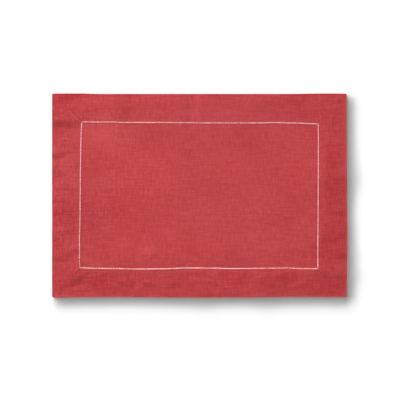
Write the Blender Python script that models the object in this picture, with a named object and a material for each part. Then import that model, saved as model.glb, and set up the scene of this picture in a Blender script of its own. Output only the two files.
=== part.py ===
"""A hemstitched linen placemat, lying flat.

One cut of plain-weave cloth. Its edge is folded to the back on all four sides, with mitred
corners, and the turned edge ends at a narrow band of drawn threads that runs round the centre
panel. The section, from the middle of the mat to its edge, is the centre panel's one layer,
the thin web of the drawn-thread band, which climbs onto the hem, and the hem's two layers with
a slit between them that opens behind the band.

X runs along the mat, Y across it and Z up. The origin is on the table, under the middle of the mat.
"""

import math
from collections import namedtuple

import bmesh
import bpy
from mathutils import Vector

MM = 0.001

# Driving dimensions
LENGTH = 508 * MM  # between the outermost points of the two short edges
WIDTH = 351.4 * MM  # between the outermost points of the two long edges
HEM = 49 * MM  # from the edge to the middle of the drawn-thread band
PLY = 1.0 * MM  # one layer of cloth
LAYER_GAP = 0.3 * MM  # the slit between the hem's two layers
CORNER_RADIUS = 2.5 * MM  # of the outline
BAND = 2.2 * MM  # width of the drawn-thread band
BAND_LIP = 0.4 * MM  # width of the bevel where the cloth stops and the band starts
BAND_SINK = 0.2 * MM  # how far the band lies below the cloth on each side of it
WEB = 0.6 * MM  # thickness of the drawn-thread band
MITRE_REACH = 1.5 * MM  # how far a mitre's ridge spreads to each side of its line
MITRE_GROOVE = 0.4 * MM  # depth of the joint between two turned edges, under a corner

HEM_TOP = 2 * PLY + LAYER_GAP
FOLD_RADIUS = HEM_TOP / 2
SLIT_END = FOLD_RADIUS + 0.6 * MM  # how far inside the edge the slit stops

# How finely the cloth is divided
STEPS_ALONG = 44
STEPS_ACROSS = 36
HEM_ROWS = 5
FOLD_ANGLES = (90, 45, 0, -45, -90)  # degrees round the outer fold, from its top to the table
CORNER_ANGLES = (45, 22.5, 0)  # degrees round half of a corner's arc, from its middle to its end

Wave = namedtuple("Wave", "along offset")  # mm
Side = namedtuple("Side", "direction outward edge band")
Step = namedtuple("Step", "angle share")  # a place along a side: on a corner's arc, or between them
Mitre = namedtuple("Mitre", "height fade")  # mm, and the share of the diagonal where it is gone

# A ripple is a soft ridge, or a trough if its height is negative, in mm and degrees. Its lean
# narrows the flank on one side of the crest by this share and widens the other.
Ripple = namedtuple("Ripple", "x y length width turn lean height")

# The sides run anticlockwise from the front left corner. edge is how far the cloth stands in
# from the full length or width, and band is how far the drawn-thread band's middle lies from
# the middle of the mat.
FRONT = Side(
    direction=Vector((1, 0, 0)),
    outward=Vector((0, -1, 0)),
    edge=(
        Wave(-254, 0.1), Wave(-244, 0.0), Wave(-216, 0.6), Wave(-150, 1.1), Wave(-24, 0.3),
        Wave(73, 0.3), Wave(169, 1.5), Wave(217, 1.1), Wave(254, 1.3),
    ),
    band=(
        Wave(-206, 124.1), Wave(-154, 125.3), Wave(-103, 126.3), Wave(-13, 124.6), Wave(65, 125.6),
        Wave(155, 124.6), Wave(206, 125.8),
    ),
)
RIGHT = Side(
    direction=Vector((0, 1, 0)),
    outward=Vector((1, 0, 0)),
    edge=(
        Wave(-176, 0.9), Wave(-125, 0.8), Wave(-98, 0.0), Wave(-50, 0.0), Wave(-8, 0.7),
        Wave(40, 1.0), Wave(176, 1.1),
    ),
    band=(
        Wave(-126, 203.1), Wave(-102, 202.9), Wave(-51, 203.4), Wave(78, 204.0), Wave(123, 203.8),
    ),
)
BACK = Side(
    direction=Vector((-1, 0, 0)),
    outward=Vector((0, 1, 0)),
    edge=(
        Wave(-254, 0.1), Wave(-244, 0.0), Wave(-202, 0.2), Wave(-175, 1.1), Wave(155, 1.1),
        Wave(210, 0.0), Wave(230, 0.0), Wave(254, 0.5),
    ),
    band=(
        Wave(-203, 126.7), Wave(-154, 126.7), Wave(-115, 125.8), Wave(50, 125.0), Wave(129, 125.7),
        Wave(204, 123.4),
    ),
)
LEFT = Side(
    direction=Vector((0, -1, 0)),
    outward=Vector((-1, 0, 0)),
    edge=(
        Wave(-176, 0.0), Wave(-70, 0.1), Wave(-33, 0.5), Wave(10, 0.1), Wave(176, 0.0),
    ),
    band=(
        Wave(-124, 206.6), Wave(-76, 206.9), Wave(-25, 205.9), Wave(27, 205.5), Wave(78, 204.7),
        Wave(127, 202.9),
    ),
)
SIDES = (FRONT, RIGHT, BACK, LEFT)

LEFT_HEM_RIPPLES = (  # the high back corner, the deep trough below it, and the folds in front
    Ripple(-248, 130, 130, 64, 0, -0.5, 0.78),
    Ripple(-250, 111, 110, 62, 6, 0.4, -0.38),
    Ripple(-254, 71, 60, 36, 8, -0.4, 0.50),
    Ripple(-256, 46, 48, 32, 0, -0.25, 0.40),
    Ripple(-236, -24, 60, 34, 0, -0.3, 0.36),
    Ripple(-246, -66, 60, 34, 0, -0.4, 0.34),
    Ripple(-233, -99, 84, 34, 14, -0.33, 0.40),
    Ripple(-215, -138, 96, 54, 25, -0.37, 0.65),
)
RIGHT_HEM_RIPPLES = (
    Ripple(236, 33, 120, 44, 7, -0.4, 0.36),
    Ripple(238, 30, 130, 90, 5, -0.3, 0.40),
    Ripple(236, -35, 100, 75, 4, -0.47, -0.30),
    Ripple(228, -66, 50, 36, 0, -0.2, 0.28),
    Ripple(250, -101, 48, 28, 3, -0.3, 0.30),
    Ripple(232, -129, 120, 44, -8, -0.36, 0.70),
)
BACK_HEM_RIPPLES = (
    Ripple(-228, 177, 64, 30, 8, -0.1, 0.45),
    Ripple(-142, 150, 110, 54, 80, 0, 0.50),
    Ripple(-29, 150, 100, 38, 86, -0.3, 0.35),
    Ripple(1, 152, 80, 30, 86, 0.2, 0.25),
    Ripple(102, 150, 110, 54, 86, -0.26, 0.55),
    Ripple(116, 148, 50, 34, 100, -0.1, 0.26),
    Ripple(229, 140, 60, 46, 86, -0.45, 0.42),
)
FRONT_HEM_RIPPLES = (
    Ripple(-170, -144, 44, 48, 100, -0.4, 0.28),
    Ripple(-125, -141, 40, 34, 90, -0.1, 0.26),
    Ripple(4, -150, 100, 50, 90, -0.15, 0.60),
    Ripple(107, -148, 90, 60, 96, -0.2, 0.60),
    Ripple(140, -146, 70, 50, 90, -0.3, 0.42),
    Ripple(178, -150, 80, 60, 90, -0.3, 0.34),
)
CENTRE_RIPPLES = (  # two short creases and broad swells
    Ripple(-90, -104, 60, 30, 24, 0, 0.45),
    Ripple(46, -103, 50, 32, 15, 0, 0.30),
    Ripple(-150, 22, 150, 110, 4, 0, 0.30),
    Ripple(-40, 60, 130, 150, -12, 0, 0.25),
    Ripple(96, 20, 150, 170, 8, 0, 0.30),
    Ripple(10, -80, 150, 70, -5, 0, 0.20),
)
RIPPLES = (
    LEFT_HEM_RIPPLES
    + RIGHT_HEM_RIPPLES
    + BACK_HEM_RIPPLES
    + FRONT_HEM_RIPPLES
    + CENTRE_RIPPLES
)

# The turned edges meet under each corner's diagonal, and their layers show through on top as a
# ridge that starts at the band. One row for each corner, in the order in which the sides start
# there.
MITRES = (
    Mitre(0.20, 0.9),
    Mitre(0.12, 0.7),
    Mitre(0.12, 0.7),
    Mitre(0.35, 1.0),
)

LINEN_RED = (0.50, 0.062, 0.066, 1)
LINEN_ROUGHNESS = 0.9


def ease(t):
    """From 0 to 1 with no kink at either end."""
    t = min(1, max(0, t))
    return t * t * (3 - 2 * t)


def swell(t):
    """1 at t = 0 and 0 from t = 1 outwards, smooth all the way."""
    return (1 - t * t) ** 2 if abs(t) < 1 else 0


def wave_at(waves, along):
    """The offset at a place along a side, eased from row to row."""
    place = along / MM
    offset = waves[0].offset
    for before, after in zip(waves, waves[1:]):
        share = (place - before.along) / (after.along - before.along)
        offset += (after.offset - before.offset) * ease(share)
    return offset * MM


def relief_at(point):
    """How far the cloth's upper face stands above its plain level."""
    height = 0
    for ripple in RIPPLES:
        turn = math.radians(ripple.turn)
        dx = point.x / MM - ripple.x
        dy = point.y / MM - ripple.y
        along = dx * math.cos(turn) + dy * math.sin(turn)
        across = dy * math.cos(turn) - dx * math.sin(turn)
        flank = ripple.width / 2 * (1 - ripple.lean if across > 0 else 1 + ripple.lean)
        height += ripple.height * swell(2 * along / ripple.length) * swell(across / flank)
    return height * MM


def edge_place(side, along):
    """How far the outline lies from the middle of the mat."""
    full = LENGTH if side.outward.x else WIDTH
    return full / 2 - wave_at(side.edge, along)


def band_place(side, along):
    """How far the band's middle lies from the middle of the mat."""
    return wave_at(side.band, along)


def corner_of(before, after, place):
    """Where the lines of two neighbouring sides cross."""
    along_x, along_y = (before, after) if before.direction.x else (after, before)
    x = along_y.outward.x * place(along_y, along_x.outward.y * WIDTH / 2)
    y = along_x.outward.y * place(along_x, x)
    return Vector((x, y, 0))


def steps_of(side):
    """The places along a side, from its first corner's middle to just before its last corner's."""
    count = STEPS_ALONG if side.direction.x else STEPS_ACROSS
    first = [Step(angle, 0) for angle in CORNER_ANGLES]
    middle = [Step(None, n / count) for n in range(1, count)]
    last = [Step(angle, 1) for angle in reversed(CORNER_ANGLES[1:])]
    return first + middle + last


def from_corner(step):
    """How far along its side a step on a corner's arc lies from the corner itself."""
    if step.angle == CORNER_ANGLES[0]:
        return 0
    return CORNER_RADIUS * (1 - math.sin(math.radians(step.angle)))


def line_point(side, first, last, place, step):
    """The point of a side's line at a step between its two corners."""
    if step.angle is None:
        point = first.lerp(last, step.share)
    else:
        near = last if step.share else first
        heading = -side.direction if step.share else side.direction
        point = near + heading * from_corner(step)
    along = point.x if side.direction.x else point.y
    outward = side.outward * place(side, along)
    return Vector((point.x, outward.y, 0)) if side.direction.x else Vector((outward.x, point.y, 0))


def arc_point(side, corner, step):
    """The point of a corner's arc at a step."""
    heading = -side.direction if step.share else side.direction
    angle = math.radians(step.angle)
    return (
        corner
        + heading * CORNER_RADIUS * (1 - math.sin(angle))
        - side.outward * CORNER_RADIUS * (1 - math.cos(angle))
    )


Column = namedtuple("Column", "edge band mitre off_mitre")  # one slice of the hem


def hem_columns():
    """The hem's slices, anticlockwise from the front left corner."""
    edge_corners = [corner_of(SIDES[n - 1], side, edge_place) for n, side in enumerate(SIDES)]
    band_corners = [corner_of(SIDES[n - 1], side, band_place) for n, side in enumerate(SIDES)]
    columns = []
    for n, side in enumerate(SIDES):
        after = (n + 1) % len(SIDES)
        for step in steps_of(side):
            edge = line_point(side, edge_corners[n], edge_corners[after], edge_place, step)
            band = line_point(side, band_corners[n], band_corners[after], band_place, step)
            if step.angle is not None:
                edge = arc_point(side, edge_corners[after if step.share else n], step)
            mitre = None if step.angle is None else MITRES[after if step.share else n]
            columns.append(Column(edge, band, mitre, 0 if mitre is None else from_corner(step)))
    return columns


def ridge_at(column, share):
    """The height of a mitre's ridge. share runs from 0 at the outline to 1 at the band."""
    if column.mitre is None:
        return 0
    beside = math.exp(-((column.off_mitre / MITRE_REACH) ** 2))
    return column.mitre.height * MM * beside * ease(1 - (1 - share) / column.mitre.fade)


def ring_at(columns, inset, height, relief=0.0, groove=0.0):
    """A closed ring of points, one in each column, at a distance in from the outline. relief is
    how much of the cloth's relief it takes, and groove is how far it is raised at each mitre."""
    share = inset / HEM
    ring = []
    for column in columns:
        point = column.edge.lerp(column.band, share)
        point.z = height
        if relief:
            point.z += relief * (relief_at(point) + ridge_at(column, share))
        if column.mitre is not None and column.off_mitre == 0:
            point.z += groove
        ring.append(point)
    return ring


def section_rings(columns):
    """The section as rings, from the centre panel's upper face, over the hem and round its fold,
    back under it, and through the slit to the centre panel's lower face."""
    band_outside = HEM - BAND / 2
    band_inside = HEM + BAND / 2
    hem_inside = band_outside - BAND_LIP
    panel_outside = band_inside + BAND_LIP
    row_width = (hem_inside - FOLD_RADIUS) / HEM_ROWS
    web_on_hem = HEM_TOP - BAND_SINK
    web_on_panel = PLY - BAND_SINK

    rings = [
        ring_at(columns, panel_outside, PLY, relief=1),
        ring_at(columns, band_inside, web_on_panel),
        ring_at(columns, band_outside, web_on_hem),
    ]
    for row in range(HEM_ROWS):
        rings.append(ring_at(columns, hem_inside - row * row_width, HEM_TOP, relief=1))
    for degrees in FOLD_ANGLES:
        angle = math.radians(degrees)
        inset = FOLD_RADIUS * (1 - math.cos(angle))
        height = FOLD_RADIUS * (1 + math.sin(angle))
        groove = MITRE_GROOVE if degrees == FOLD_ANGLES[-1] else 0
        rings.append(ring_at(columns, inset, height, relief=height / HEM_TOP, groove=groove))
    return rings + [
        ring_at(columns, band_outside, 0, groove=MITRE_GROOVE),
        ring_at(columns, band_outside, PLY),
        ring_at(columns, SLIT_END, PLY),
        ring_at(columns, SLIT_END, PLY + LAYER_GAP),
        ring_at(columns, hem_inside, PLY + LAYER_GAP),
        ring_at(columns, band_outside, web_on_hem - WEB),
        ring_at(columns, band_inside, web_on_panel - WEB),
        ring_at(columns, panel_outside, 0),
    ]


def panel_grid(ring):
    """Rows of points from the front to the back, stretched between the four sides of the panel's ring."""
    along, across = len(steps_of(FRONT)), len(steps_of(RIGHT))
    closed = ring + ring[:1]
    front = closed[: along + 1]
    right = closed[along : along + across + 1]
    back = closed[along + across : 2 * along + across + 1][::-1]
    left = closed[2 * along + across :][::-1]
    rows = []
    for j in range(across + 1):
        v = (left[j].y - left[0].y) / (left[-1].y - left[0].y)
        row = []
        for i in range(along + 1):
            u = (front[i].x - front[0].x) / (front[-1].x - front[0].x)
            point = (
                front[i].lerp(back[i], v)
                + left[j].lerp(right[j], u)
                - front[0].lerp(front[-1], u).lerp(back[0].lerp(back[-1], u), v)
            )
            point.z = PLY + relief_at(point)
            row.append(point)
        rows.append(row)
    return rows


def add_rings(bm, rings):
    """Adds the rings and the faces between each two of them, and gives the rings' vertices."""
    made = [[bm.verts.new(point) for point in ring] for ring in rings]
    for inner, outer in zip(made, made[1:]):
        for n in range(len(inner)):
            bm.faces.new((inner[n - 1], outer[n - 1], outer[n], inner[n]))
    return made


def add_panel(bm, ring):
    """Adds the centre panel's upper face inside its ring of vertices."""
    along, across = len(steps_of(FRONT)), len(steps_of(RIGHT))
    rows = panel_grid([vertex.co for vertex in ring])
    corners = (0, along, along + across, 2 * along + across)

    def vertex_at(i, j):
        if j == 0:
            return ring[corners[0] + i]
        if j == across:
            return ring[corners[3] - i]
        if i == 0:
            return ring[-j]
        if i == along:
            return ring[corners[1] + j]
        return bm.verts.new(rows[j][i])

    grid = [[vertex_at(i, j) for i in range(along + 1)] for j in range(across + 1)]
    for below, above in zip(grid, grid[1:]):
        for i in range(along):
            bm.faces.new((below[i], below[i + 1], above[i + 1], above[i]))


def linen():
    """The cloth's material."""
    material = bpy.data.materials.new("linen")
    material.use_nodes = True
    shader = material.node_tree.nodes["Principled BSDF"]
    shader.inputs["Base Color"].default_value = LINEN_RED
    shader.inputs["Roughness"].default_value = LINEN_ROUGHNESS
    material.diffuse_color = LINEN_RED
    return material


def placemat_cloth():
    """The cloth with its hem folded under, as one closed solid."""
    bm = bmesh.new()
    rings = add_rings(bm, section_rings(hem_columns()))
    add_panel(bm, rings[0])
    bm.faces.new(reversed(rings[-1]))
    mesh = bpy.data.meshes.new("placemat_cloth")
    bm.to_mesh(mesh)
    bm.free()
    mesh.shade_smooth()
    mesh.set_sharp_from_angle(angle=math.radians(30))
    mesh.materials.append(linen())
    cloth = bpy.data.objects.new("placemat_cloth", mesh)
    bpy.context.scene.collection.objects.link(cloth)
    return cloth


def main():
    for obj in list(bpy.data.objects):
        bpy.data.objects.remove(obj, do_unlink=True)
    placemat_cloth()


main()
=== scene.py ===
import math
import random
from collections import namedtuple
from functools import partial

import bpy
import numpy as np
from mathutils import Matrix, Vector, noise


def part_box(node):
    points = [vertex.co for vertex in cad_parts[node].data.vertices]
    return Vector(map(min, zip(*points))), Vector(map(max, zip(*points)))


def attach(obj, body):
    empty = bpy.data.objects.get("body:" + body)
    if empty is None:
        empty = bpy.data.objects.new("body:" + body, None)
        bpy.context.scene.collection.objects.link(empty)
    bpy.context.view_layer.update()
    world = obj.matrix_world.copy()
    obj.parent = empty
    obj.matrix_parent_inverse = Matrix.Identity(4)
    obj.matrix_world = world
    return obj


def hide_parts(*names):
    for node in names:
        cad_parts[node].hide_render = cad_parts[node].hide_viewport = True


print("placemat: loading the frame")
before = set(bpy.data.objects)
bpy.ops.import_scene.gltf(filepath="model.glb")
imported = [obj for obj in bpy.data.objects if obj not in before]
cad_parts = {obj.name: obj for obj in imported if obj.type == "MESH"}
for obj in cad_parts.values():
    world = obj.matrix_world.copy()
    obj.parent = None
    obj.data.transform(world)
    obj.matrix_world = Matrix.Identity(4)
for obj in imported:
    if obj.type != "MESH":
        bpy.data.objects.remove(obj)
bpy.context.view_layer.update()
lowCorner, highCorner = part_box("placemat_cloth")

mm = 0.001
random.seed(20)

# mm and degrees; a trough's height is negative, and lean narrows one flank and widens the other
Ripple = namedtuple("Ripple", "x y length width turn lean height")
# height in mm, fade as the share of the diagonal where the ridge has gone; along the mitre, fold gives the
# side that starts there a painted highlight and the other one painted shade, the other way round where
# negative
Mitre = namedtuple("Mitre", "height fade fold")
# a line of the hem's section: inset from the outline and height in mm, the shares that it takes of the
# ripples and of the mitre's groove, its tone with painted light and shade, lowest, where the layer below
# stops it, and its share of the fold's painted light and shade
HemRow = namedtuple("HemRow", "inset height relief groove wear lowest rim")
# matching points on the outline and on the band, with the values of the mitre there, among them its painted
# line, and the outer fold's painted light and shade
HemColumn = namedtuple("HemColumn", "edge band ridge reach offMitre fold pale")

# the cloth, in mm; x and y are counted from the middle of the mat
cloth = {
    "hem": 49.0,  # from the edge to the middle of the drawn band
    "band": 1.65,  # width of the drawn band
    "cornerRadius": 2.5,
    "ply": 0.45,  # one layer of linen
    "underside": 0.12,  # the lowest layer stands this high on its stitches
    "hemTop": 1.70,  # middle of the hem's upper layer, near the fold
    "hemAtBand": 1.32,  # and where it meets the band
    "hemRiseReach": 40.0,
    "hemPuff": 0.06,  # how much the hem puffs up between the two
    "panelLift": 0.80,  # how far the panel's edge is pulled up to the band
    "panelLiftReach": 60.0,
    "turnedEdge": 6.5,  # width of the raw edge that is tucked inside the hem
    "turnedHeight": 0.84,
    "turnedMargin": 2,  # how far beyond that edge the upper layer still rests on it
    "stepsAlong": 168,
    "stepsAcross": 124,
    "topRows": 17,
    "foldRows": 9,
    "underRows": 6,
    "cornerSteps": (0.0, 0.6, 1.2, 2.0, 3.0, 4.4),  # columns beside each mitre
    "tuck": 0.6,  # how far the inner fold stands back from the band
    "clearance": 0.02,  # between two layers that lie on each other
    "sharpAngle": 50,
    "looseAbove": 0.8,  # the cloth is fully uneven this far above its lowest place
    "deepestTrough": 0.6,  # as a share of the panel's lift
    "farFromMitre": 99,  # stands for a column that no mitre reaches
    "mitreReach": 2.2,
    "mitreGroove": 0.22,
    "mitreGrooveReach": 0.8,
    "mitreLine": 1.2,  # from the mitre to the middle of the line beside it
    "mitreLineReach": 1.1,
    "panelAlong": 203,  # half the panel, up to the middle of the band
    "panelAcross": 126,
    "sizeAlong": (highCorner.x - lowCorner.x) / mm,
    "sizeAcross": (highCorner.y - lowCorner.y) / mm,
    "cut": (0.618, 0.461),  # the piece of linen before hemming, in metres
    "cutArea": 0.261,  # with its corners cut off for the mitres, in square metres
}
cloth["low"] = cloth["underside"] + cloth["ply"] / 2  # middle of the lowest layer

# paler or deeper places on the cloth, partly painted light and shade; reaches in mm
tones = {
    "hem": -0.24,  # deeper on the hem, where the linen lies double, and painted shade there
    # paler on the hem beside the band
    "hemAtBand": 0.35,
    "hemAtBandReach": 4.0,
    # painted shade on the panel against the band
    "paintedPanelShade": -0.55,
    "paintedPanelShadeReach": 1.2,
    "paintedRimOnHem": 0.55,  # the share of the fold's painted light and shade that reaches onto the hem
    "paintedRimReach": 1.3,
}

# the slight handmade unevenness of pressed linen
uneven = {
    "broad": 38,
    "broadHeight": 0.10,
    "fine": 13,
    "fineHeight": 0.035,
}

# how far the edge stands in from the full size, as (place along the side, inset)
edgeWaves = {
    "front": ((-254, 0.1), (-244, 0.0), (-216, 0.6), (-150, 1.1), (-24, 0.3), (73, 0.3), (169, 1.5),
              (217, 1.1), (254, 1.3)),
    "right": ((-176, 0.9), (-125, 0.8), (-98, 0.0), (-50, 0.0), (-8, 0.7), (40, 1.0), (176, 1.1)),
    "back": ((-254, 0.1), (-244, 0.0), (-202, 0.0), (-175, 0.8), (155, 0.8), (210, 0.0), (230, 0.0),
             (254, 0.3)),
    "left": ((-176, 0.0), (-70, 0.0), (-33, 0.1), (10, 0.0), (176, 0.0)),
}

# how far the middle of the drawn band lies from the middle of the mat, as (place along the side, distance)
bandWaves = {
    "front": ((-206, 124.1), (-180, 125.0), (-154, 125.3), (-103, 126.3), (-64, 125.9), (-25, 124.6),
              (26, 124.7), (52, 125.6), (78, 125.5), (104, 125.1), (155, 124.6), (181, 125.8), (206, 125.8)),
    "right": ((-126, 203.1), (-102, 202.9), (-51, 203.4), (78, 204.0), (123, 203.8)),
    "back": ((-203, 126.7), (-180, 126.4), (-154, 126.7), (-129, 125.9), (-60, 125.8), (0, 125.0),
             (104, 125.0), (129, 125.7), (155, 125.0), (204, 123.4)),
    "left": ((-124, 206.6), (-76, 206.9), (-51, 206.3), (-25, 205.9), (27, 205.5), (78, 204.7), (104, 204.1),
             (127, 202.9)),
}

# (direction, outward) of each side, anticlockwise from the front left corner
sides = {
    "front": ((1, 0), (0, -1)),
    "right": ((0, 1), (1, 0)),
    "back": ((-1, 0), (0, 1)),
    "left": ((0, -1), (-1, 0)),
}
sideNames = list(sides)

# (x, y, length, width, turn, lean, height), as in Ripple
ripples = (
    # left hem: the high corner and the deep trough below it, then the short folds further on
    (-248, 130, 130, 64, 0, -0.5, 0.95),
    (-250, 111, 110, 62, 6, 0.4, -0.38),
    (-254, 69, 60, 30, 8, -0.5, 0.72),
    (-256, 46, 48, 28, 0, -0.25, 0.50),
    (-254, -1, 34, 16, 0, -0.1, 0.22),
    (-240, 17, 66, 20, -4, -0.2, 0.22),
    (-236, -24, 60, 31, 0, -0.3, 0.42),
    (-246, -66, 60, 30, 0, -0.45, 0.36),
    (-240, -76, 70, 28, 4, 0.4, -0.12),
    (-214, -92, 26, 14, 10, -0.1, 0.20),
    (-234, -100, 78, 32, 14, -0.15, 0.36),
    (-210, -116, 36, 13, 90, 0.2, 0.18),
    (-209, -135, 108, 54, 27, -0.37, 0.80),
    (-205, 0, 300, 16, 90, -0.3, 0.14),
    # right hem
    (217, 113, 20, 14, 30, 0.2, 0.14),
    (226, 92, 34, 24, 0, -0.2, 0.22),
    (220, 61, 34, 24, 0, -0.2, 0.22),
    (236, 33, 120, 40, 7, -0.5, 0.40),
    (238, 30, 130, 90, 5, -0.3, 0.42),
    (236, -35, 100, 75, 4, -0.47, -0.30),
    (228, -66, 50, 34, 0, -0.2, 0.30),
    (250, -101, 70, 26, 3, -0.4, 0.48),
    (232, -130, 120, 42, -12, -0.36, 0.75),
    # back hem
    (-228, 177, 64, 28, 8, -0.1, 0.62),
    (-196, 138, 24, 22, 35, 0.3, 0.20),
    (-139, 150, 110, 56, 80, -0.1, 0.46),
    (-101, 158, 36, 12, 0, -0.2, 0.13),
    (-77, 166, 34, 12, 90, 0.3, 0.15),
    (-73, 131, 28, 22, 90, -0.2, 0.15),
    (-29, 150, 100, 34, 86, -0.3, 0.35),
    (1, 152, 80, 18, 86, 0.2, 0.25),
    (12, 147, 22, 16, 90, -0.2, 0.15),
    (57, 149, 30, 14, 90, -0.2, 0.15),
    (102, 158, 86, 54, 86, -0.26, 0.42),
    (116, 148, 50, 26, 100, -0.1, 0.30),
    (166, 136, 26, 20, 90, -0.2, 0.15),
    (170, 163, 26, 20, 90, -0.2, 0.15),
    (208, 146, 50, 10, 90, 0.1, 0.12),
    (229, 140, 60, 46, 86, -0.45, 0.52),
    # front hem
    (-170, -144, 44, 40, 104, -0.5, 0.34),
    (-169, -133, 22, 14, 20, 0.2, 0.20),
    (-125, -141, 40, 26, 90, -0.1, 0.28),
    (-100, -162, 30, 20, 90, -0.2, 0.15),
    (-32, -137, 26, 18, 90, -0.3, 0.15),
    (4, -150, 100, 50, 90, -0.15, 0.60),
    (54, -148, 16, 14, 90, -0.2, 0.14),
    (68, -138, 24, 20, 90, -0.2, 0.18),
    (107, -148, 90, 60, 96, -0.2, 0.70),
    (140, -146, 70, 50, 90, -0.3, 0.45),
    (178, -150, 80, 60, 90, -0.3, 0.34),
    # centre panel: short creases and a few broad swells
    (-90, 33, 34, 26, 20, 0, 0.25),
    (-90, -104, 60, 28, 24, 0, 0.55),
    (46, -103, 50, 30, 15, 0, 0.35),
    (128, 80, 26, 16, 90, -0.2, 0.14),
    (150, 98, 26, 16, 60, -0.2, 0.14),
    (165, 2, 90, 22, 2, -0.2, 0.14),
    (-40, 60, 130, 150, -12, 0, 0.25),
    (96, 20, 150, 170, 8, 0, 0.30),
    (10, -80, 150, 70, -5, 0, 0.20),
)

# painted light and shade: broad places made paler, or deeper where the amount is negative, for the fall of
# the light across the mat and the shading of its soft folds; (x, y, length, width, amount)
paintedLightAndShade = (
    # centre panel
    (-150, 90, 130, 90, 0.24),
    (-170, -30, 150, 110, -0.34),
    (-150, -110, 140, 60, -0.22),
    (40, -110, 420, 80, -0.16),
    (190, -40, 140, 300, -0.14),
    (185, -105, 110, 60, -0.25),
    (-172, 100, 80, 60, 0.30),
    # back hem and its corners
    (20, 146, 180, 70, 0.28),
    (0, 139, 420, 36, 0.24),
    (-178, 165, 200, 46, 0.24),
    (-30, 165, 150, 46, 0.24),
    (-162, 138, 22, 24, 0.25),
    (-228, 171, 80, 30, -0.45),
    (-240, 158, 60, 60, -0.18),
    (226, 150, 70, 60, -0.16),
    (124, 165, 54, 26, 0.28),
    (108, 138, 66, 22, 0.22),
    # left hem
    (-228, 45, 50, 110, 0.24),
    (-246, -84, 44, 26, -0.35),
    (-238, -30, 50, 70, -0.45),
    (-220, -20, 26, 36, 0.28),
    (-246, 13, 36, 44, 0.34),
    (-228, 44, 60, 70, 0.24),
    (-250, 76, 26, 16, 0.34),
    (-230, -31, 26, 20, 0.38),
    (-217, 119, 20, 14, 0.38),
    (-217, 20, 20, 24, 0.26),
    # front hem
    (170, -150, 230, 60, -0.26),
    (0, -150, 400, 28, -0.15),
    (-165, -145, 130, 44, -0.42),
    (-205, -158, 130, 60, -0.26),
    (-90, -150, 50, 34, -0.34),
    (74, -140, 50, 34, -0.36),
    (134, -140, 40, 24, -0.25),
    (232, -150, 80, 50, -0.20),
    # right hem
    (230, -20, 60, 300, -0.30),
    (228, 58, 50, 84, -0.28),
    (212, 10, 18, 200, 0.20),
    (246, 46, 24, 28, 0.34),
    (246, -28, 26, 40, -0.34),
    (244, -107, 32, 30, -0.32),
    (229, -168, 30, 18, -0.36),
)

# painted light along the outer fold of each hem: a painted highlight on the front and right folds, painted
# shade on the back and left ones
paintedFoldLight = {"front": 1.6, "right": 1.6, "back": -1.0, "left": -1.4}

# one for each corner, in the order in which the sides start there
mitres = (
    Mitre(0.10, 0.45, -1.4),
    Mitre(0.06, 0.35, 0.5),
    Mitre(0.06, 0.35, -0.5),
    Mitre(0.20, 0.85, 1.2),
)

# small puckers that the hemstitch pulls into the cloth on both sides of the band, as (least, most) in mm
# and degrees
pucker = {
    "along": 196,  # from the middle of a side to its last pucker
    "across": 118,
    "turn": (-12, 12),
    "height": (-0.07, 0.091),
    "wander": (-5, 5),  # off the band
    "reach": (13.6, 30.6),
    "width": (7.2, 12.6),
    "spacing": (6.3, 13.5),
}


def ease(t):
    t = np.clip(t, 0, 1)
    return t * t * (3 - 2 * t)


def swell(t):
    return np.where(np.abs(t) < 1, (1 - np.minimum(t * t, 1)) ** 2, 0)


def waveAt(rows, along):
    offset = rows[0][1] + 0 * along
    for (startAt, startOffset), (endAt, endOffset) in zip(rows, rows[1:]):
        offset = offset + (endOffset - startOffset) * ease((along - startAt) / (endAt - startAt))
    return offset


def edgePlace(side, along):
    full = cloth["sizeAlong"] if sides[side][1][0] else cloth["sizeAcross"]
    return full / 2 - waveAt(edgeWaves[side], along)


def bandPlace(side, along):
    return waveAt(bandWaves[side], along)


def cornerOf(n, place):
    # where side n starts, on the line that place gives
    before, after = sideNames[n % 4 - 1], sideNames[n % 4]
    alongX, alongY = (before, after) if sides[before][0][0] else (after, before)
    x = sides[alongY][1][0] * place(alongY, sides[alongX][1][1] * cloth["sizeAcross"] / 2)
    y = sides[alongX][1][1] * place(alongX, x)
    return np.array((x, y))


def puckerRows():
    # fixed seed above, so the puckers fall alike in each run
    rows = []
    for side in sideNames:
        direction, outward = map(np.array, sides[side])
        last = pucker["along"] if direction[0] else pucker["across"]
        place = -last
        while place < last:
            middle = abs(direction) * place + outward * bandPlace(side, place)
            turn = (90 if direction[0] else 0) + random.uniform(*pucker["turn"])
            height = random.uniform(*pucker["height"])
            middle = middle + outward * random.uniform(*pucker["wander"])
            length, width = random.uniform(*pucker["reach"]), random.uniform(*pucker["width"])
            rows.append(Ripple(*middle, length, width, turn, 0, height))
            place += random.uniform(*pucker["spacing"])
    return rows


allRipples = [Ripple(*row) for row in ripples] + puckerRows()


def reliefAt(x, y):
    height = 0 * x
    for ripple in allRipples:
        turn = math.radians(ripple.turn)
        dx, dy = x - ripple.x, y - ripple.y
        along = dx * math.cos(turn) + dy * math.sin(turn)
        across = dy * math.cos(turn) - dx * math.sin(turn)
        flank = ripple.width / 2 * np.where(across > 0, 1 - ripple.lean, 1 + ripple.lean)
        height = height + ripple.height * swell(2 * along / ripple.length) * swell(across / flank)
    return height


# sums the painted light and shade at each point
def paintedLightAt(x, y):
    tone = 0 * x
    for middleX, middleY, length, width, amount in paintedLightAndShade:
        tone = tone + amount * swell(2 * (x - middleX) / length) * swell(2 * (y - middleY) / width)
    return tone


def hemHeight(offBand):
    # middle of the hem's upper layer, by the distance outwards from the band's edge
    rise = cloth["hemTop"] - cloth["hemAtBand"]
    puff = cloth["hemPuff"] * np.sin(np.pi * np.clip(offBand / cloth["hem"], 0, 1))
    return cloth["hemAtBand"] + rise * ease(offBand / cloth["hemRiseReach"]) + puff


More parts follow.
